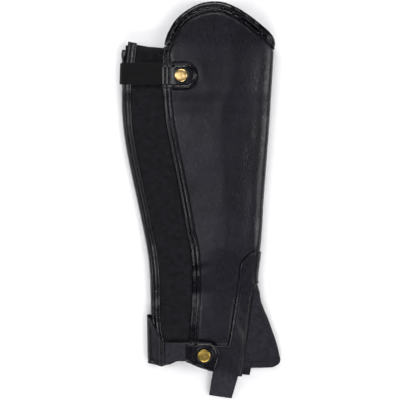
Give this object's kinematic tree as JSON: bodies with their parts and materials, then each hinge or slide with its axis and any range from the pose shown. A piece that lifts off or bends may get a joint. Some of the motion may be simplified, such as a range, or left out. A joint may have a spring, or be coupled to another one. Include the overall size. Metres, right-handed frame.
{
  "type": "half chap",
  "caption": "Black leather half chap, zipped shut and laid flat, with ribbed elastic calf panel, snap straps and stirrup elastic.",
  "frame": {"origin": "on the ground under the middle of the flat tube's bounding box", "axes": "+Y up the leg towards the knee, +X towards the shin, +Z off the ground through the outer side"},
  "size_m": [0.1886, 0.4649, 0.0285],
  "materials": {
    "black_leather": "smooth black leather with a soft sheen",
    "trim_leather": "rolled and stitched black leather",
    "ribbed_elastic": "finely ribbed elastic, matte",
    "elastic_webbing": "woven elastic, matte",
    "zip_tape": "woven tape, matte",
    "zip_coil": "black nylon coil",
    "brass": "domed and brushed",
    "stud_metal": "dull"
  },
  "bodies": {
    "root": {"main_panel": "black_leather", "stretch_panel": "ribbed_elastic", "front_strip": "trim_leather", "back_strip": "trim_leather", "zip_tape_outer": "zip_tape", "zip_tape_inner": "zip_tape", "zip_chain": "zip_coil", "zip_slider": "zip_coil", "top_binding": "trim_leather", "ankle_overlay": "black_leather", "instep_gore": "ribbed_elastic", "top_strap": "elastic_webbing", "top_tab": "trim_leather", "heel_strap": "black_leather", "low_strap": "elastic_webbing", "lower_tab": "trim_leather", "top_snap_cap": "brass", "top_snap_stud": "stud_metal", "lower_snap_cap": "brass", "lower_snap_stud": "stud_metal", "stirrup_elastic": "elastic_webbing"}
  },
  "joints": []
}
